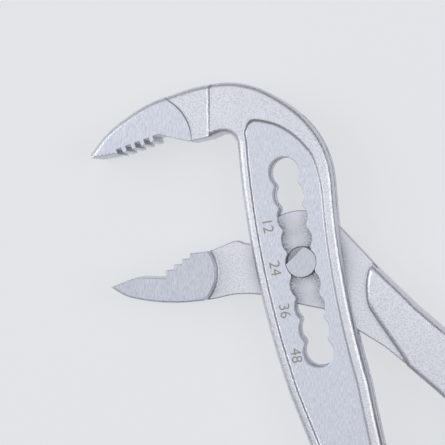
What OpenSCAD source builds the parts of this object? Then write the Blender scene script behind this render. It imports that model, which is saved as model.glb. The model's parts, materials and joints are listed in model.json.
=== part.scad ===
// Slip joint water pump pliers with a box joint, lying on their back.
// Lengths are in millimetres. The levers are drawn about the middle line of the arm beside the
// pin, with their middle plane at zero height, and each piece is then set on the rest plane.

/* [Slip joint] */
// Number of notches in the adjusting slot
notch_count = 9; // [7:1:10]
// Distance from one notch to the next
notch_pitch = 6; // [5.5:0.1:6.4]
// Notch that the pin stands in, counted from the jaws
pin_notch = 5; // [4:1:6]
// Diameter of the joint pin
pin_d = 8; // [7:0.1:8.6]
// Radial play of the pin in a notch
pin_play = 0.1; // [0.05:0.01:0.2]
// Distance from the pin axis to the flat on the pin
pin_flat = 2.3; // [1.8:0.1:2.6]
// Play of the flattened pin between the notches
flat_play = 0.15; // [0.1:0.05:0.3]
// Lean of the slot from upright
slot_lean = 11; // [8:0.5:14]
// Distance of the slot to the right of the middle line of the arm
slot_offset = 0.6; // [0.3:0.1:0.8]
// Swing at which the flat on the pin lines up with the slot
adjust_swing = 56; // [50:1:60]

/* [Thickness] */
// Thickness of the jaws over their ground pads
pad_t = 14.8; // [14:0.1:16]
// Thickness of the upper jaw behind its pad
root_t = 13.8; // [12.8:0.1:13.9]
// Thickness of the arm and of the handles
arm_t = 12.4; // [11.4:0.1:12.6]
// Depth of the panel round the slot
panel_depth = 0.6; // [0.3:0.1:1]
// Width of the rounded slope round the panel
panel_slope = 1.1; // [0.8:0.1:1.3]
// Gap between the two cheeks of the arm
cheek_gap = 5.3; // [4.6:0.1:5.8]
// Play of the lower lever between the cheeks, on each side
neck_play = 0.15; // [0.1:0.05:0.3]
// Radius of the forged edges
edge_r = 1.4; // [0.8:0.1:1.8]

/* [Arm] */
// Left edge of the arm from its middle line, at its widest
arm_left = 11.65; // [11:0.05:12.5]
// Right edge of the arm from its middle line, at its narrowest
arm_right = 11.2; // [10.5:0.05:11.6]
// Radius that both edges of the arm are bent to
arm_bow_r = 260; // [230:5:300]
// Width of the rim on the left of the panel
rim_left = 2.4; // [1.8:0.1:2.8]
// Width of the rim on the right of the panel
rim_right = 3.1; // [2.6:0.1:3.6]
// Length of the cheeks below the lowest notch
cheek_foot = 38; // [36:0.5:44]

/* [Upper jaw] */
// Reach of the upper jaw from the top notch
upper_reach = 50.8; // [47:0.1:54]
// Height of the head over the top notch
head_rise = 23.9; // [23:0.1:26]
// Radius of the throat beside the arm
throat_r = 3.8; // [3.2:0.1:4.2]
// Radius of the edge of the upper pad
upper_pad_r = 12.1; // [11:0.1:13]
// Radius of the fillet at the foot of the upper pad
upper_fillet = 0.4; // [0.2:0.05:0.45]

/* [Lower jaw] */
// Reach of the lower jaw from the pivot
lower_reach = 50; // [47:0.1:53]
// Radius of the hub round the pin
hub_r = 13.6; // [12.8:0.1:14]
// Radius of the edge of the lower pad
lower_pad_r = 10; // [9:0.1:10.1]
// Radius of the fillet at the foot of the lower pad
lower_fillet = 0.6; // [0.3:0.05:0.65]
// Radius of the edges of the lower jaw along its belly
belly_r = 0.6; // [0.4:0.1:1]

/* [Teeth] */
// Pitch of the fine teeth at the tips
fine_pitch = 1; // [0.9:0.05:1.1]
// Depth of the fine teeth
fine_depth = 0.5; // [0.3:0.05:0.6]
// Pitch of the coarse teeth of the upper jaw
coarse_pitch = 2.6; // [2.4:0.05:2.7]
// Width of the gaps between the coarse teeth
coarse_gap = 1.5; // [1.2:0.05:1.7]
// Depth of the coarse teeth
coarse_depth = 1.4; // [1:0.05:1.6]
// Length of a stair tooth of the lower jaw
stair_run = 2.15; // [2:0.05:2.3]
// Height of a stair tooth of the lower jaw
stair_rise = 1.5; // [1.3:0.05:1.6]

/* [Handles] */
// Width of both handles at their ends
handle_w = 12.6; // [11.5:0.1:14.5]
// Length of the upper handle below the arm
upper_handle_len = 160; // [140:1:180]
// Length of the lower handle beyond its root
lower_handle_len = 158; // [140:1:180]
// Bend of the upper handle over its length
upper_bend = 8; // [4:0.5:10]
// Bend of the lower handle over its length
lower_bend = 24; // [18:0.5:26]
// Bare length of the upper handle before its grip
upper_bare = 40; // [36:0.5:50]
// Bare length of the lower handle before its grip
lower_bare = 26; // [22:0.5:34]
// Play between a handle and its grip
grip_play = 0.05; // [0.02:0.01:0.1]
// Wall of a grip at the sides
grip_wall = 1.6; // [1.2:0.1:2.2]

/* [Hidden] */
$fn = 64;
far = 400;
curve_steps = 4;
edge_steps = 3;

pin_r = pin_d / 2;
notch_r = pin_r + pin_play;
slot_w = pin_r + pin_flat + flat_play;
neck_t = cheek_gap - 2 * neck_play;
panel_t = arm_t - 2 * panel_depth;

// Middle line of the arm, with u up the arm and v to its right
slot_up = [-sin(slot_lean), cos(slot_lean)];
slot_right = [cos(slot_lean), sin(slot_lean)];
pin_at = slot_offset * slot_right;
top_u = (pin_notch - 1) * notch_pitch;
foot_u = -(notch_count - pin_notch) * notch_pitch;
top_notch = top_u * slot_up;
foot_notch = foot_u * slot_up;
function on_slot(u, v) = u * slot_up + v * slot_right;

// Curves
function mix(a, b, t) = a + (b - a) * t;
function at(start, points) = [for (p = points) start + p];
function reversed(p) = [for (i = [len(p) - 1:-1:0]) p[i]];
function bend_through(a, b, c, d, t) = 0.5 * (2 * b + (c - a) * t
    + (2 * a - 5 * b + 4 * c - d) * t * t + (3 * b - a - 3 * c + d) * t * t * t);
function curve(p, steps = curve_steps) = let (last = len(p) - 1) concat(
    [for (i = [0:last - 1]) for (k = [0:steps - 1])
        bend_through(p[max(i - 1, 0)], p[i], p[i + 1], p[min(i + 2, last)], k / steps)],
    [p[last]]);
function arc(centre, r, from, to, steps) =
    [for (k = [0:steps]) let (a = mix(from, to, k / steps)) centre + r * [cos(a), sin(a)]];
function way(angle) = [cos(angle), sin(angle)];
function across(angle) = [-sin(angle), cos(angle)];

// A handle is [root, heading, bend, length, width at the root]. It is an arc from its root,
// with its heading turning steadily along its length, and a round end.
end_from = 75;
end_to = 8;
end_steps = 4;
function sinc(a) = a == 0 ? 1 : sin(a) * 180 / (PI * a);
function heading(h, s) = h[1] + h[2] * s;
function along(h, s) = h[0] + h[3] * s * sinc(h[2] * s / 2) * way(heading(h, s / 2));
function width_at(h, s) = handle_w + (h[4] - handle_w) * pow(1 - s, 4);
function round_end(h, s, side, r) =
    arc(along(h, s), r, heading(h, s) + side * end_from, heading(h, s) + side * end_to, end_steps);
function handle_side(h, side, from, to, steps, grow = 0) =
    [for (k = [0:steps]) let (s = mix(from, to, k / steps))
        along(h, s) + side * (width_at(h, s) / 2 + grow) * across(heading(h, s))];
function handle_line(h, side, from, steps, grow = 0) =
    concat(handle_side(h, side, from, 1, steps, grow), round_end(h, 1, side, handle_w / 2 + grow));

// A skin is a solid between a right and a left side, both given from the jaws downwards.
// Each of its levels is a height and a distance inwards, and its flat ends are laced from side to side.
function unit(v) = v / norm(v);
sharpest_mitre = 0.6;
function inward(p, i) = let (
    n = len(p),
    d = unit(p[i] - p[(i + n - 1) % n]),
    e = unit(p[(i + 1) % n] - p[i]),
    m = unit([d[1] + e[1], -d[0] - e[0]]))
    m / max(sharpest_mitre, m * [d[1], -d[0]]);
function inset(p, d) = [for (i = [0:len(p) - 1]) p[i] + d * inward(p, i)];
function lace(r, l) = let (last = r + l + 1) concat(
    [for (i = [0:r - 1]) [i, i + 1, last - ceil((i + 0.5) * l / r - 0.5)]],
    [for (j = [0:l - 1]) [floor((j + 0.5) * r / l + 0.5), last - j - 1, last - j]]);
module skin(right, left, levels) {
    outline = concat(right, reversed(left));
    n = len(outline);
    top = (len(levels) - 1) * n;
    flat_end = lace(len(right) - 1, len(left) - 1);
    polyhedron(
        [for (l = levels) for (p = inset(outline, l[1])) [p[0], p[1], l[0]]],
        concat(
            [for (k = [0:n:top - 1]) for (i = [0:n - 1]) let (a = k + i, b = k + (i + 1) % n)
                each [[a, b, b + n], [a, b + n, a + n]]],
            [for (f = flat_end) reversed(f)],
            [for (f = flat_end) [for (i = f) top + i]]));
}
function edge_levels(t, r) = [for (side = [-1, 1]) for (k = [0:edge_steps])
    let (a = 90 * (side < 0 ? k : edge_steps - k) / edge_steps)
    [side * (t / 2 - r * (1 - cos(a))), r * (1 - sin(a))]];
slope_steps = 5;
bury = 0.05;
function slope_levels(low, high, width) = [for (k = [0:slope_steps]) let (s = k / slope_steps)
    [mix(low, high + bury, (1 - cos(180 * s)) / 2), width * (0.5 - s)]];
module plate(outline, t) {
    linear_extrude(t, center = true) polygon(outline);
}

// Edges of the arm, as distances from its middle line
left_crest_u = 4;
right_waist_u = -10;
function left_v(u) = -arm_left + pow(u - left_crest_u, 2) / (2 * arm_bow_r);
function right_v(u) = arm_right + pow(u - right_waist_u, 2) / (2 * arm_bow_r);
function left_edge(from, to, steps, rim = 0) =
    [for (k = [0:steps]) let (u = mix(from, to, k / steps)) on_slot(u, left_v(u) + rim)];
function right_edge(from, to, steps, rim = 0) =
    [for (k = [0:steps]) let (u = mix(from, to, k / steps)) on_slot(u, right_v(u) - rim)];

// Handles
arm_foot = 10.4;
root_u = foot_u - arm_foot;
arm_turn = atan((left_crest_u + right_waist_u - 2 * root_u) / (2 * arm_bow_r));
upper_handle = [
    on_slot(root_u, (left_v(root_u) + right_v(root_u)) / 2),
    slot_lean + arm_turn - 90, -upper_bend, upper_handle_len, right_v(root_u) - left_v(root_u)];
lower_handle = [[26.6, -16.7], -39, -lower_bend, lower_handle_len, 13.6];
blend_s = 0.05;

// Sides of the upper lever
throat_u = top_u + 9.6;
throat = on_slot(throat_u, left_v(throat_u) - throat_r);
step_x = -19.2;
step_y = 9.4;
overlap = 2.2;
head = at(top_notch, [
    [step_x - overlap, head_rise - 0.9], [-14.2, head_rise], [-7.4, head_rise - 1.1],
    [-1.4, head_rise - 3.9], [4.6, head_rise - 8.1], [9.2, 10.6], [11.9, 5.4]]);
head_right_u = top_u - 3;
upper_right = concat(
    curve(concat(head, right_edge(head_right_u, root_u, 5))),
    handle_line(upper_handle, 1, blend_s, 14));
upper_left = concat(
    at(top_notch, [[step_x - overlap, step_y - 0.4], [step_x, step_y]]),
    arc(throat, throat_r, 125, slot_lean + 6, 9),
    left_edge(throat_u, root_u, 24),
    handle_line(upper_handle, -1, blend_s, 14));

// Upper jaw outline, with its teeth set out from the tip
tip = top_notch + [-upper_reach, 5.1];
lip = tip + [0.6, -1.2];
tooth_lean = 0.75;
fine_count = 6;
fine_angle = 9;
function fine_teeth(start, count, angle, depth) = [for (k = [0:count - 1]) each [
    start + k * fine_pitch * way(angle),
    start + (k + tooth_lean) * fine_pitch * way(angle) + depth * across(angle)]];
coarse_count = 5;
coarse_angle = 19.5;
coarse_start = lip + fine_count * fine_pitch * way(fine_angle) + [1.4, 0.95];
function coarse_tooth(k) = let (
    c = coarse_start + k * coarse_pitch * way(coarse_angle),
    half = coarse_gap / 2 * way(coarse_angle),
    deep = coarse_depth / 2 * across(coarse_angle))
    [c - half - deep, c - half + deep, c + half + deep, if (k < coarse_count - 1) c + half - deep];
step_end = step_x + 0.6;
upper_back = curve(concat(
    at(tip, [[0, 0], [4.7, 5.8], [11.5, 10.9], [17, 13.9]]),
    at(top_notch, [[-28.7, head_rise - 3.1], [-23.3, head_rise - 1.4], [step_end, head_rise - 0.5]])));
upper_jaw_outline = concat(
    upper_back,
    at(top_notch, [[step_end, step_y + 0.2], [step_x, step_y], [-24.4, 8.3]]),
    reversed(concat(
        fine_teeth(lip, fine_count, fine_angle, fine_depth),
        [for (k = [0:coarse_count - 1]) each coarse_tooth(k)])));
upper_pad_centre = tip + [15, 3.3];

// A jaw is cut from a die that follows its back and stands clear of its teeth
die_clear = 8;
upper_die_right = concat([tip - die_clear * unit(upper_back[1] - tip)], upper_back);
upper_die_left = [tip - [die_clear, 2 * die_clear], top_notch + [step_end, step_y - die_clear]];

// Sides of the panel round the slot, which runs on into the handle
panel_s = (cheek_foot - arm_foot) / upper_handle_len;
panel_end_r = width_at(upper_handle, panel_s) / 2 - rim_right;
panel_right_u = top_u - 5.5;
panel_right = concat(
    curve(concat(
        at(top_notch, [
            [-9.7, 10.6], [-8.7, 13], [-6.8, 13.8], [-1.6, 12.7], [2.6, 10.4], [6, 7.3], [8.6, 3.6]]),
        right_edge(panel_right_u, root_u, 5, rim_right))),
    handle_side(upper_handle, 1, blend_s, panel_s, 4, -rim_right),
    round_end(upper_handle, panel_s, 1, panel_end_r));
panel_left = concat(
    left_edge(throat_u, root_u, 24, rim_left),
    handle_side(upper_handle, -1, blend_s, panel_s, 4, -rim_left),
    round_end(upper_handle, panel_s, -1, panel_end_r));

// Lower lever outline
lower_tip = [-lower_reach, -6.7];
lower_fine_count = 7;
lower_fine_angle = 21;
stair_count = 4;
stair_start = [-35, -4.4];
stair_lip = 0.7;
stairs = [for (k = [0:stair_count - 1]) each [
    stair_start + [k * stair_run, k * stair_rise + (k == 0 ? 0 : stair_lip)],
    stair_start + [k * stair_run, (k + 1) * stair_rise + stair_lip]]];
hub_tangent = 44;
hub_start = 160;
lower_belly = curve([
    [6.1, -12.3], [-1.6, -10.8], [-10.4, -8.7], [-17, -8.6], [-23.7, -10], [-32, -10.8],
    [-39.6, -10.4], [-45.6, -9.2], lower_tip]);
lower_outline = concat(
    fine_teeth(lower_tip, lower_fine_count, lower_fine_angle, -fine_depth),
    [lower_tip + lower_fine_count * fine_pitch * way(lower_fine_angle)],
    stairs,
    curve([[-26.4, 2.4], [-23.7, 3], [-20, 4.5], [-17, 5.6], [-14.8, 4.9], [-13.2, 4.8]]),
    arc(pin_at, hub_r, hub_start, hub_tangent, 16),
    [[20.6, -1.3], [26, -14], [30.4, -26.2]],
    handle_side(lower_handle, -1, blend_s, 0, 1),
    lower_belly);
lower_pad_centre = lower_tip + [18, 3.7];
lower_die_right = concat(
    lower_belly, [lower_tip - die_clear * unit(lower_belly[len(lower_belly) - 2] - lower_tip)]);
lower_die_left = [[lower_belly[0][0], hub_r + die_clear], lower_tip + [-die_clear, 2 * die_clear]];

// Sides of the raised lower handle, whose step clears the arm at both ends of the swing
handle_step = [[18.1, -1.9], [17.5, -6], [18.1, -11], [19.9, -14.1], [22.2, -17.5], [26.5, -23.6]];
lower_right = concat([[19.3, -0.3]], handle_line(lower_handle, 1, 0, 16));
lower_left = concat(curve(handle_step, 3), handle_line(lower_handle, -1, blend_s, 15));

// Grips
grip_mouth = 5;
function grip_line(h, side, bare, grow) = handle_line(h, side, bare / h[3], 12, grow);

// The origin is under the middle of the whole tool, on the rest plane
reach = concat(
    upper_jaw_outline, upper_right, upper_left, lower_outline,
    [for (side = [-1, 1]) each grip_line(upper_handle, side, upper_bare, grip_wall)],
    [for (side = [-1, 1]) each grip_line(lower_handle, side, lower_bare, grip_wall)]);
reach_x = [for (p = reach) p[0]];
reach_y = [for (p = reach) p[1]];
set_down = [-(min(reach_x) + max(reach_x)) / 2, -(min(reach_y) + max(reach_y)) / 2, pad_t / 2];

module slot() {
    translate(pin_at) linear_extrude(pad_t, center = true) {
        for (k = [0:notch_count - 1])
            translate(mix(top_notch, foot_notch, k / (notch_count - 1))) circle(notch_r);
        translate((top_notch + foot_notch) / 2) rotate(slot_lean)
            square([slot_w, top_u - foot_u], center = true);
    }
}

// Room between the cheeks for the lower lever, in every notch
hub_play = 0.5;
module window() {
    r = hub_r + hub_play;
    open_way = adjust_swing + hub_tangent - 90;
    rise = top_notch + r * across(open_way);
    translate(pin_at) linear_extrude(cheek_gap, center = true) {
        translate(top_notch) circle(r);
        polygon([top_notch, rise, rise + far * way(open_way), top_notch + [far, 0]]);
        translate((top_notch + on_slot(foot_u - cheek_foot, 0)) / 2) rotate(slot_lean)
            square([far, top_u - foot_u + cheek_foot], center = true);
    }
}

// Ground end of a jaw: all that lies towards the tip from a round edge with a fillet at its foot
module pad_room(centre, r, foot_t, fillet) {
    foot = foot_t / 2 - bury;
    translate(centre) rotate_extrude() polygon(concat(
        [[0, -pad_t], [r, -pad_t]],
        arc([r + fillet, -foot - fillet], fillet, 180, 90, 4),
        arc([r + fillet, foot + fillet], fillet, 270, 180, 4),
        [[r, pad_t], [0, pad_t]]));
    translate(centre - [far / 2, 0]) cube(far, center = true);
}

module upper_lever() color("lightsteelblue") translate(set_down) difference() {
    union() {
        skin(upper_right, upper_left, edge_levels(arm_t, edge_r));
        intersection() {
            plate(upper_jaw_outline, root_t);
            skin(upper_die_right, upper_die_left, edge_levels(root_t, edge_r));
        }
        intersection() {
            plate(upper_jaw_outline, pad_t);
            skin(upper_die_right, upper_die_left, edge_levels(pad_t, edge_r));
            pad_room(upper_pad_centre, upper_pad_r, root_t, upper_fillet);
        }
    }
    for (side = [0, 1]) mirror([0, 0, side])
        skin(panel_right, panel_left, slope_levels(panel_t / 2, arm_t / 2, panel_slope));
    window();
    slot();
}

module lower_lever() color("lightsteelblue") translate(set_down) difference() {
    union() {
        plate(lower_outline, neck_t);
        intersection() {
            plate(lower_outline, pad_t);
            skin(lower_die_right, lower_die_left, edge_levels(pad_t, belly_r));
            pad_room(lower_pad_centre, lower_pad_r, neck_t, lower_fillet);
        }
        skin(lower_right, lower_left, edge_levels(arm_t, edge_r));
    }
    translate(pin_at) cylinder(r = pin_r, h = pad_t, center = true);
}

// The pin is round in the lower lever and flat on one side in both cheeks
module joint_pin() color("silver") translate(set_down) translate(pin_at) difference() {
    cylinder(r = pin_r, h = panel_t, center = true);
    for (side = [0, 1]) mirror([0, 0, side])
        rotate(slot_lean - adjust_swing) translate([-pin_d - pin_flat, -pin_d, neck_t / 2])
            cube([pin_d, 2 * pin_d, panel_t]);
}

module grip(h, bare) {
    difference() {
        skin(grip_line(h, 1, bare, grip_wall), grip_line(h, -1, bare, grip_wall),
            edge_levels(pad_t, edge_r + grip_wall));
        skin(grip_line(h, 1, bare - grip_mouth, grip_play), grip_line(h, -1, bare - grip_mouth, grip_play),
            edge_levels(arm_t + 2 * grip_play, edge_r));
    }
}
module upper_grip() color("dimgray") translate(set_down) grip(upper_handle, upper_bare);
module lower_grip() color("dimgray") translate(set_down) grip(lower_handle, lower_bare);

upper_lever();
lower_lever();
joint_pin();
upper_grip();
lower_grip();
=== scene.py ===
import json
import math

import bpy
from mathutils import Matrix, Vector


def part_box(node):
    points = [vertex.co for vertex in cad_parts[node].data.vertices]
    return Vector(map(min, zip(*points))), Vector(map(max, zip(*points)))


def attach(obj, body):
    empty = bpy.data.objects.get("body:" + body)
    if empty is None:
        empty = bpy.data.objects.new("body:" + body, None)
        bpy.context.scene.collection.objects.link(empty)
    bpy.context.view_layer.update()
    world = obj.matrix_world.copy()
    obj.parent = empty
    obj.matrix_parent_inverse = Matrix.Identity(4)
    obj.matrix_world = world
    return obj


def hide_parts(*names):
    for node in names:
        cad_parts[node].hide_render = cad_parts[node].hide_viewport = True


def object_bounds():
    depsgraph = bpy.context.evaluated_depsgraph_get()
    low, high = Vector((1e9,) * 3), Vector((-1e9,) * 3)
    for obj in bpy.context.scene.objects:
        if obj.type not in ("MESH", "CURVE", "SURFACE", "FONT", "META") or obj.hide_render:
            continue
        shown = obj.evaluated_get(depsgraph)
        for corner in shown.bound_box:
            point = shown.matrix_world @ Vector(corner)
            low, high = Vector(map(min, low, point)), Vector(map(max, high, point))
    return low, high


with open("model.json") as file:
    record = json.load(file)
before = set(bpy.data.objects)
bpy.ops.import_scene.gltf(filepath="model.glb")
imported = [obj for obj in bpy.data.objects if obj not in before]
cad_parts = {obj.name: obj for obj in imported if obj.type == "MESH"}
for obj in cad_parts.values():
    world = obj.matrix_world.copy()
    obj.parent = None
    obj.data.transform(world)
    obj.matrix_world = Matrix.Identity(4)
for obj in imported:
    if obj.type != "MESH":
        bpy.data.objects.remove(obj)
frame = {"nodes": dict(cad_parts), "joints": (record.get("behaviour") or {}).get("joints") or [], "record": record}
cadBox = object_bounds()
mm = 0.001
pivot = Vector(frame["joints"][0]["pos_m"])
midZ = pivot.z
padTop = cadBox[1].z                        # the jaw pads are the highest faces
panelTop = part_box("joint_pin")[1].z         # the pin ends flush with the panel round the slot
bodyOf = {node: body for body, nodes in frame["record"]["behaviour"]["bodies"].items() for node in nodes}
raySamples = 8                              # rays of each node that looks for corners or edges
mixA, mixB, mixOut = 6, 7, 2                # the colour sockets of a Mix node
print("frame loaded, box in mm:", [[round(c / mm, 1) for c in corner] for corner in cadBox])


def hexToLinear(code):
    channels = [int(code[i:i + 2], 16) / 255 for i in (1, 3, 5)]
    return [c / 12.92 if c <= 0.04045 else ((c + 0.055) / 1.055) ** 2.4 for c in channels] + [1.0]


def addNode(owner, kind, settings=None, links=None):
    node = owner.node_tree.nodes.new(kind)
    for key, value in (settings or {}).items():
        if isinstance(key, str) and hasattr(node, key):
            setattr(node, key, value)
        else:
            node.inputs[key].default_value = value
    for key, (source, output) in (links or {}).items():
        owner.node_tree.links.new(source.outputs[output], node.inputs[key])
    return node


def deselectAll():
    bpy.ops.object.select_all(action="DESELECT")


def makeActive(piece):
    deselectAll()
    piece.select_set(True)
    bpy.context.view_layer.objects.active = piece


def startMaterial(name):
    material = bpy.data.materials.new(name)
    material.use_nodes = True
    shader = material.node_tree.nodes["Principled BSDF"]
    place = addNode(material, "ShaderNodeTexCoord")
    return material, shader, place


def linkTo(owner, shader, socket, source, output):
    owner.node_tree.links.new(source.outputs[output], shader.inputs[socket])


# camera, off to the right and up by as much as the walls of the slot show
camera = {
    "targetMm": (-21.6, 10.3, 0.0),         # from the pivot, the middle of the picture
    "fieldMm": 118.7,                       # width of the picture at the pivot
    "distance": 0.50,
    "fromRight": 8.6,                       # degrees off the straight view down
    "fromAbove": 0.5,
    "sensorMm": 36.0,
}


def addCamera(look):
    right, above = math.radians(look["fromRight"]), math.radians(look["fromAbove"])
    back = Vector((math.sin(right) * math.cos(above), math.sin(above), math.cos(right) * math.cos(above)))
    target = pivot + Vector(look["targetMm"]) * mm
    across = Vector((0, 1, 0)).cross(back).normalized()
    # the jaws are at the top of the picture
    turn = Matrix((across, back.cross(across), back)).transposed()
    bpy.ops.object.camera_add(location=target + back * look["distance"], rotation=turn.to_euler())
    made = bpy.context.object
    made.data.sensor_width = look["sensorMm"]
    made.data.lens = look["sensorMm"] * look["distance"] / (look["fieldMm"] * mm)
    made.data.dof.use_dof = False
    bpy.context.scene.camera = made


addCamera(camera)
print("camera placed")

# studio: a light table, so hardly any shadow falls on it, in a tent that is dim low down on the right,
# so that rounded edges show dark lines, with a soft light on each side and one overhead
studio = {
    "floorSize": 4.0,
    "floorHex": "#8a8b8e",
    "floorRoughness": 0.9,
    "glowHex": "#e1e2e5",
    "floorGlow": 0.78,
    "tentHex": "#cfd0d4",
    "tentTowards": (-0.5, 0.2, 0.84),       # the bright side of the tent is above and to the left
    "tentDim": 0.26,
    "tentBright": 0.78,
    "tentFull": 0.9,                        # nearness to its bright side where the tent is fully bright
    "lights": {                             # places in metres from the pivot
        "left": {"at": (-0.90, 0.20, 0.80), "size": 0.7, "watts": 2.7},
        "right": {"at": (0.75, 0.05, 0.95), "size": 0.6, "watts": 2.2},
        "overhead": {"at": (-0.05, 0.05, 1.2), "size": 1.0, "watts": 1.5},
    },
}


def addStudio(look):
    bpy.context.scene.view_settings.view_transform = "Standard"
    world = bpy.data.worlds.new("studioWorld")
    world.use_nodes = True
    bpy.context.scene.world = world
    tent = world.node_tree.nodes["Background"]
    tent.inputs["Color"].default_value = hexToLinear(look["tentHex"])
    around = addNode(world, "ShaderNodeTexCoord")
    side = addNode(world, "ShaderNodeVectorMath", {"operation": "DOT_PRODUCT", 1: look["tentTowards"]},
                   {0: (around, "Generated")})
    shade = addNode(world, "ShaderNodeMapRange",
                    {"From Max": look["tentFull"], "To Min": look["tentDim"], "To Max": look["tentBright"]},
                    {"Value": (side, "Value")})
    linkTo(world, tent, "Strength", shade, "Result")
    for name, lamp in look["lights"].items():
        spot = pivot + Vector(lamp["at"])
        bpy.ops.object.light_add(type="AREA", location=spot)
        made = bpy.context.object
        made.name = name
        made.rotation_euler = (spot - pivot).to_track_quat("Z", "Y").to_euler()
        made.data.size = lamp["size"]
        made.data.energy = lamp["watts"]
    deselectAll()
    bpy.ops.mesh.primitive_plane_add(size=look["floorSize"], location=(0, 0, cadBox[0].z))
    floor = bpy.context.object
    floor.name = "floor"
    paper = bpy.data.materials.new("lightTable")
    paper.use_nodes = True
    shader = paper.node_tree.nodes["Principled BSDF"]
    shader.inputs["Base Color"].default_value = hexToLinear(look["floorHex"])
    shader.inputs["Roughness"].default_value = look["floorRoughness"]
    shader.inputs["Emission Color"].default_value = hexToLinear(look["glowHex"])
    shader.inputs["Emission Strength"].default_value = look["floorGlow"]
    floor.data.materials.append(paper)


addStudio(studio)
print("studio placed")


# every steel finish ends the same way: dirt and painted shade in its corners, blunted edges and a relief,
# in the shader of a metal
def finishPlate(material, shader, tint, relief, look):
    # painted shade: the colour darkens towards the dirt and shade tint where the piece's own faces close in round
    # a corner
    corner = addNode(material, "ShaderNodeAmbientOcclusion",
                     {"only_local": True, "samples": raySamples, "Distance": look["cornerMm"] * mm})
    grimeAndShade = addNode(material, "ShaderNodeMix", {"data_type": "RGBA", mixA: hexToLinear(look["grimeAndShadeHex"])},
                    {"Factor": (corner, "AO"), mixB: (tint, mixOut)})
    blunt = addNode(material, "ShaderNodeBevel", {"samples": raySamples, "Radius": look["bluntMm"] * mm})
    bump = addNode(material, "ShaderNodeBump",
                   {"Strength": look["bump"], "Distance": look["bumpDepthMm"] * mm},
                   {"Height": (relief, "Fac"), "Normal": (blunt, "Normal")})
    shader.inputs["Metallic"].default_value = 1.0
    shader.inputs["Roughness"].default_value = look["roughness"]
    linkTo(material, shader, "Base Color", grimeAndShade, mixOut)
    linkTo(material, shader, "Normal", bump, "Normal")
    return material


# forged steel, blasted and then plated with satin nickel: pale, and finely pebbled
forged = {
    "lightHex": "#eff0f6",
    "darkHex": "#e2e4ec",
    "pitShadeHex": "#d2d5de",
    "pits": (0.56, 0.36),                   # the relief below the first is a hollow, with painted shade that is full at the second
    "grimeAndShadeHex": "#9fa0a6",
    "cornerMm": 0.9,
    "bluntMm": 0.45,
    "roughness": 0.34,
    "pebbleMm": 0.45,
    "cloudMm": 9.0,
    "bump": 1.0,
    "bumpDepthMm": 0.08,
}
# the hub turns between the cheeks, where oily stains leave it darker and painted shade darkens it, most of all
# along their edges
hubOilAndShade = {
    "hex": "#727278",
    "fromMm": 17.0,                         # from the pivot, where the stains and painted shade begin and where they are full
    "toMm": 11.0,
    "stainMm": 3.0,
    "stainShare": 0.5,                      # most that a stain adds to the painted shade from the cheeks
    "shadeReachMm": 3.0,                         # reach of the painted shade from the cheeks' edges
}
# the edges of the lower lever are a little blunter
forgedBlunter = dict(forged, bluntMm=0.65)
# the ledge beside the flat of the pin is painted darker: painted shadow, where it lies low beside the flat
pinLedgeShade = dict(forged, lightHex="#c2c4cc", darkHex="#a6a8b0", pitShadeHex="#96989f")


def forgedSteel(name, look, oilAndShadeLook=None):
    material, shader, place = startMaterial(name)
    cloud = addNode(material, "ShaderNodeTexNoise", {"Scale": 1 / (look["cloudMm"] * mm), "Detail": 3.0},
                    {"Vector": (place, "Object")})
    tint = addNode(material, "ShaderNodeMix",
                   {"data_type": "RGBA", mixA: hexToLinear(look["darkHex"]),
                    mixB: hexToLinear(look["lightHex"])},
                   {"Factor": (cloud, "Fac")})
    # near the pivot the hub is painted darker: oily stains, and painted shade where the cheeks close over it
    if oilAndShadeLook:
        reach = addNode(material, "ShaderNodeVectorMath", {"operation": "DISTANCE", 1: pivot},
                        {0: (place, "Object")})
        near = addNode(material, "ShaderNodeMapRange",
                       {"From Min": oilAndShadeLook["fromMm"] * mm, "From Max": oilAndShadeLook["toMm"] * mm},
                       {"Value": (reach, "Value")})
        stain = addNode(material, "ShaderNodeTexNoise", {"Scale": 1 / (oilAndShadeLook["stainMm"] * mm), "Detail": 3.0},
                        {"Vector": (place, "Object")})
        # painted shade: darker where the cheeks of the other lever close over the hub
        openness = addNode(material, "ShaderNodeAmbientOcclusion",
                           {"samples": raySamples, "Distance": oilAndShadeLook["shadeReachMm"] * mm})
        cheekShade = addNode(material, "ShaderNodeMath", {"operation": "SUBTRACT", 0: 1.0}, {1: (openness, "AO")})
        oilAndShade = addNode(material, "ShaderNodeMath", {"operation": "MULTIPLY_ADD", 1: oilAndShadeLook["stainShare"]},
                      {0: (stain, "Fac"), 2: (cheekShade, "Value")})
        share = addNode(material, "ShaderNodeMath", {"operation": "MULTIPLY", "use_clamp": True},
                        {0: (near, "Result"), 1: (oilAndShade, "Value")})
        tint = addNode(material, "ShaderNodeMix", {"data_type": "RGBA", mixB: hexToLinear(oilAndShadeLook["hex"])},
                       {"Factor": (share, "Value"), mixA: (tint, mixOut)})
    pebble = addNode(material, "ShaderNodeTexNoise",
                     {"Scale": 1 / (look["pebbleMm"] * mm), "Detail": 2.0, "Roughness": 0.6},
                     {"Vector": (place, "Object")})
    # painted shade: the hollows of the pebbling are painted darker
    pitShade = addNode(material, "ShaderNodeMapRange", {"From Min": look["pits"][0], "From Max": look["pits"][1]},
                  {"Value": (pebble, "Fac")})
    tint = addNode(material, "ShaderNodeMix", {"data_type": "RGBA", mixB: hexToLinear(look["pitShadeHex"])},
                   {"Factor": (pitShade, "Result"), mixA: (tint, mixOut)})
    return finishPlate(material, shader, tint, pebble, look)


# the same plate over ground faces: the belt leaves fine upright lines, drawn coarser so that they show
ground = {
    "lightHex": "#ebeef6",
    "darkHex": "#c4c8d5",
    "spread": (0.30, 0.70),                 # range of the noise that the two tints span
    "grimeAndShadeHex": "#8b8d94",
    "cornerMm": 0.6,
    "bluntMm": 0.3,
    "roughness": 0.36,
    "lineMm": 0.22,
    "lineLengthMm": 1.4,
    "bump": 0.6,
    "bumpDepthMm": 0.03,
}
# the ground faces of the lower jaw and the pin are a shade darker
groundDarker = dict(ground, lightHex="#dfe2ea", darkHex="#babeca")


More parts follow.
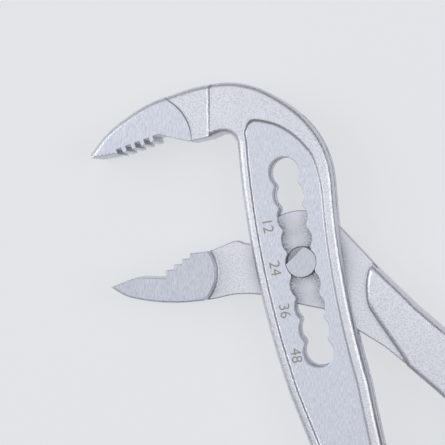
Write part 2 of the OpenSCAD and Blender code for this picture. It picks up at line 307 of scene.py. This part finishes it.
def groundSteel(name, look):
    material, shader, place = startMaterial(name)
    across, along = 1 / (look["lineMm"] * mm), 1 / (look["lineLengthMm"] * mm)
    stretch = addNode(material, "ShaderNodeMapping", {"Scale": (across, along, across)},
                      {"Vector": (place, "Object")})
    lines = addNode(material, "ShaderNodeTexNoise", {"Scale": 1.0, "Detail": 3.0, "Roughness": 0.7},
                    {"Vector": (stretch, "Vector")})
    clear = addNode(material, "ShaderNodeMapRange",
                    {"From Min": look["spread"][0], "From Max": look["spread"][1]},
                    {"Value": (lines, "Fac")})
    tint = addNode(material, "ShaderNodeMix",
                   {"data_type": "RGBA", mixA: hexToLinear(look["darkHex"]),
                    mixB: hexToLinear(look["lightHex"])},
                   {"Factor": (clear, "Result")})
    return finishPlate(material, shader, tint, lines, look)


# side walls, slot and teeth, where the flash was cut off or a tool has cut: coarser, and painted darker as painted
# shade on faces that stand upright
trimmedShaded = {
    "lightHex": "#e6e8ee",
    "darkHex": "#cdcfd6",
    "grimeAndShadeHex": "#95969b",
    "cornerMm": 0.6,
    "bluntMm": 0.3,
    "roughness": 0.48,
    "grainMm": 0.8,
    "bump": 0.5,
    "bumpDepthMm": 0.05,
}


def trimmedSteelShaded(look):
    material, shader, place = startMaterial("trimmedSteelShaded")
    grain = addNode(material, "ShaderNodeTexNoise", {"Scale": 1 / (look["grainMm"] * mm), "Detail": 3.0},
                    {"Vector": (place, "Object")})
    tint = addNode(material, "ShaderNodeMix",
                   {"data_type": "RGBA", mixA: hexToLinear(look["darkHex"]),
                    mixB: hexToLinear(look["lightHex"])},
                   {"Factor": (grain, "Fac")})
    return finishPlate(material, shader, tint, grain, look)


# dipped vinyl: dense and half matt, with the orange peel and slow runs of a dipped coat
# and shinier rubbed patches
vinyl = {
    "hex": "#2d2e32",
    "paleHex": "#3d3e42",
    "rubbedRoughness": 0.34,
    "roughness": 0.58,
    "peelMm": 0.9,
    "runMm": 9.0,
    "runShare": 5.0,                        # depth of a run over the depth of the peel
    "patchMm": 16.0,
    "bump": 0.5,
    "bumpDepthMm": 0.05,
}


def dippedVinyl(look):
    material, shader, place = startMaterial("dippedVinyl")
    peel = addNode(material, "ShaderNodeTexNoise", {"Scale": 1 / (look["peelMm"] * mm), "Detail": 2.0},
                   {"Vector": (place, "Object")})
    run = addNode(material, "ShaderNodeTexNoise", {"Scale": 1 / (look["runMm"] * mm), "Detail": 0.0},
                  {"Vector": (place, "Object")})
    relief = addNode(material, "ShaderNodeMath", {"operation": "MULTIPLY_ADD", 1: look["runShare"]},
                     {0: (run, "Fac"), 2: (peel, "Fac")})
    patch = addNode(material, "ShaderNodeTexNoise", {"Scale": 1 / (look["patchMm"] * mm), "Detail": 2.0},
                    {"Vector": (place, "Object")})
    tint = addNode(material, "ShaderNodeMix",
                   {"data_type": "RGBA", mixA: hexToLinear(look["hex"]), mixB: hexToLinear(look["paleHex"])},
                   {"Factor": (peel, "Fac")})
    gloss = addNode(material, "ShaderNodeMapRange",
                    {"To Min": look["rubbedRoughness"], "To Max": look["roughness"]},
                    {"Value": (patch, "Fac")})
    bump = addNode(material, "ShaderNodeBump",
                   {"Strength": look["bump"], "Distance": look["bumpDepthMm"] * mm},
                   {"Height": (relief, "Value")})
    linkTo(material, shader, "Base Color", tint, mixOut)
    linkTo(material, shader, "Roughness", gloss, "Result")
    linkTo(material, shader, "Normal", bump, "Normal")
    return material


# laser marks: the plate is burnt to a matt brown grey, unevenly
marking = {"hex": "#9d958f", "paleHex": "#b8b1ab", "roughness": 0.6, "grainMm": 0.4}


def laserMark(look):
    material, shader, place = startMaterial("laserMark")
    grain = addNode(material, "ShaderNodeTexNoise", {"Scale": 1 / (look["grainMm"] * mm), "Detail": 1.0},
                    {"Vector": (place, "Object")})
    tint = addNode(material, "ShaderNodeMix",
                   {"data_type": "RGBA", mixA: hexToLinear(look["hex"]), mixB: hexToLinear(look["paleHex"])},
                   {"Factor": (grain, "Fac")})
    shader.inputs["Roughness"].default_value = look["roughness"]
    linkTo(material, shader, "Base Color", tint, mixOut)
    return material


upperForged = forgedSteel("blastedNickelPlate", forged)
lowerForged = forgedSteel("blastedNickelPlateOiledAndShaded", forgedBlunter, hubOilAndShade)
shadedPinLedge = forgedSteel("pinLedgeSteelShaded", pinLedgeShade)
upperGround = groundSteel("groundSatinNickel", ground)
lowerGround = groundSteel("groundSatinNickelDarker", groundDarker)
trimmedShadedWall = trimmedSteelShaded(trimmedShaded)
gripVinyl = dippedVinyl(vinyl)
markInk = laserMark(marking)
print("materials made")

# levers, pin and grips: merged copies of the solids, shaded smooth between their sharp edges
finishes = {
    "upper_lever": {"name": "upperLeverForging", "slot": "forged_steel",
                    "coats": [upperForged, upperGround, trimmedShadedWall], "groundAt": [padTop, panelTop]},
    "lower_lever": {"name": "lowerLeverForging", "slot": "forged_steel",
                    "coats": [lowerForged, lowerGround, trimmedShadedWall], "groundAt": [padTop]},
    "joint_pin": {"name": "jointPinTurned", "slot": "pin_steel",
                  "coats": [shadedPinLedge, lowerGround, trimmedShadedWall], "groundAt": [panelTop]},
    "upper_grip": {"name": "upperGripDipped", "slot": "dipped_vinyl", "coats": [gripVinyl]},
    "lower_grip": {"name": "lowerGripDipped", "slot": "dipped_vinyl", "coats": [gripVinyl]},
}
dressing = {
    "mergeMm": 0.001,
    "sharpAngle": 32.0,
    "levelMm": 0.05,                        # how near to its height a ground face lies
    "flatNormal": 0.99,                     # a face whose normal is more upright than this is flat
    "wallNormal": 0.35,                     # and one that is less upright than this is a wall
}
plainCoat, groundCoat, wallCoat = 0, 1, 2   # their places among the coats of a piece


def mergedCopy(node, name):
    piece = bpy.data.objects.new(name, frame["nodes"][node].data.copy())
    bpy.context.scene.collection.objects.link(piece)
    makeActive(piece)
    bpy.ops.mesh.customdata_custom_splitnormals_clear()
    bpy.ops.object.mode_set(mode="EDIT")
    bpy.ops.mesh.select_all(action="SELECT")
    bpy.ops.mesh.remove_doubles(threshold=dressing["mergeMm"] * mm)
    bpy.ops.object.mode_set(mode="OBJECT")
    return piece


def smoothBetweenEdges(piece):
    makeActive(piece)
    bpy.ops.object.shade_smooth_by_angle(angle=math.radians(dressing["sharpAngle"]))
    weigh = piece.modifiers.new("flatFacesStayFlat", "WEIGHTED_NORMAL")
    weigh.keep_sharp = True
    bpy.ops.object.modifier_apply(modifier=weigh.name)


def coatFaces(piece, look):
    piece.data.materials.clear()
    for coat in look["coats"]:
        piece.data.materials.append(coat)
    for face in piece.data.polygons:
        height = abs(face.center.z - midZ)
        level = any(abs(height - (z - midZ)) < dressing["levelMm"] * mm for z in look.get("groundAt", []))
        if level and abs(face.normal.z) > dressing["flatNormal"]:
            face.material_index = groundCoat
        # upright faces take the wall coat, which is painted darker as painted shade
        elif len(look["coats"]) > wallCoat and abs(face.normal.z) < dressing["wallNormal"]:
            face.material_index = wallCoat
        else:
            face.material_index = plainCoat


# a dipped coat ends in a soft roll, so the outer edge of each grip's mouth is rounded off
mouthRoll = {"rollMm": 0.8, "segments": 3, "facing": 0.95, "planeMm": 0.05}


def rollMouth(piece, look):
    faces = piece.data.polygons
    facing = [f for f in faces if f.normal.dot((pivot - f.center).normalized()) > look["facing"]]
    first = min(facing, key=lambda f: (f.center - pivot).length)
    ring = [f for f in facing if abs((f.center - first.center).dot(first.normal)) < look["planeMm"] * mm]
    ringIds = {f.index for f in ring}
    ringKeys = {key for f in ring for key in f.edge_keys}
    middle = sum((f.center for f in ring), Vector()) / len(ring)
    outer = {key for f in faces if f.index not in ringIds and f.normal.dot(f.center - middle) > 0
             for key in f.edge_keys if key in ringKeys}
    makeActive(piece)
    bpy.ops.object.mode_set(mode="EDIT")
    bpy.ops.mesh.select_mode(type="EDGE")
    bpy.ops.mesh.select_all(action="DESELECT")
    bpy.ops.object.mode_set(mode="OBJECT")
    for edge in piece.data.edges:
        edge.select = edge.key in outer
    bpy.ops.object.mode_set(mode="EDIT")
    bpy.ops.mesh.bevel(offset=look["rollMm"] * mm, segments=look["segments"], affect="EDGES")
    bpy.ops.object.mode_set(mode="OBJECT")
    print("mouth rolled:", len(ring), "faces,", len(outer), "edges")


for node, look in finishes.items():
    piece = mergedCopy(node, look["name"])
    if node.endswith("_grip"):
        rollMouth(piece, mouthRoll)
    smoothBetweenEdges(piece)
    coatFaces(piece, look)
    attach(piece, bodyOf[node])
    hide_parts(node)
    print("dressed", node)

# scale numbers beside the slot, laser marked on the panel and reading down the arm,
# at places from the pivot
numbers = {
    "placesMm": {"12": (-8.85, 9.5), "24": (-6.85, -1.75), "36": (-4.3, -12.85), "48": (-1.3, -24.55)},
    "heightMm": 2.8,
    "capShare": 0.7,                        # height of a digit over the size of its font
    "turn": -79.0,                          # a quarter turn, less the lean of the arm
    "proudMm": 0.02,
}


def addNumber(word, spot, look):
    bpy.ops.object.text_add()
    made = bpy.context.object
    made.data.body = word
    made.data.align_x = "CENTER"
    made.data.align_y = "CENTER"
    made.data.size = look["heightMm"] * mm / look["capShare"]
    made.data.extrude = look["proudMm"] * mm
    makeActive(made)
    bpy.ops.object.convert(target="MESH")
    made = bpy.context.object
    made.name = "scaleNumber" + word
    made.location = (pivot.x + spot[0] * mm, pivot.y + spot[1] * mm, panelTop)
    made.rotation_euler = (0, 0, math.radians(look["turn"]))
    bpy.ops.object.transform_apply(location=True, rotation=True, scale=True)
    made.data.materials.clear()
    made.data.materials.append(markInk)
    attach(made, bodyOf["upper_lever"])


for word, spot in numbers["placesMm"].items():
    addNumber(word, spot, numbers)
print("numbers marked")
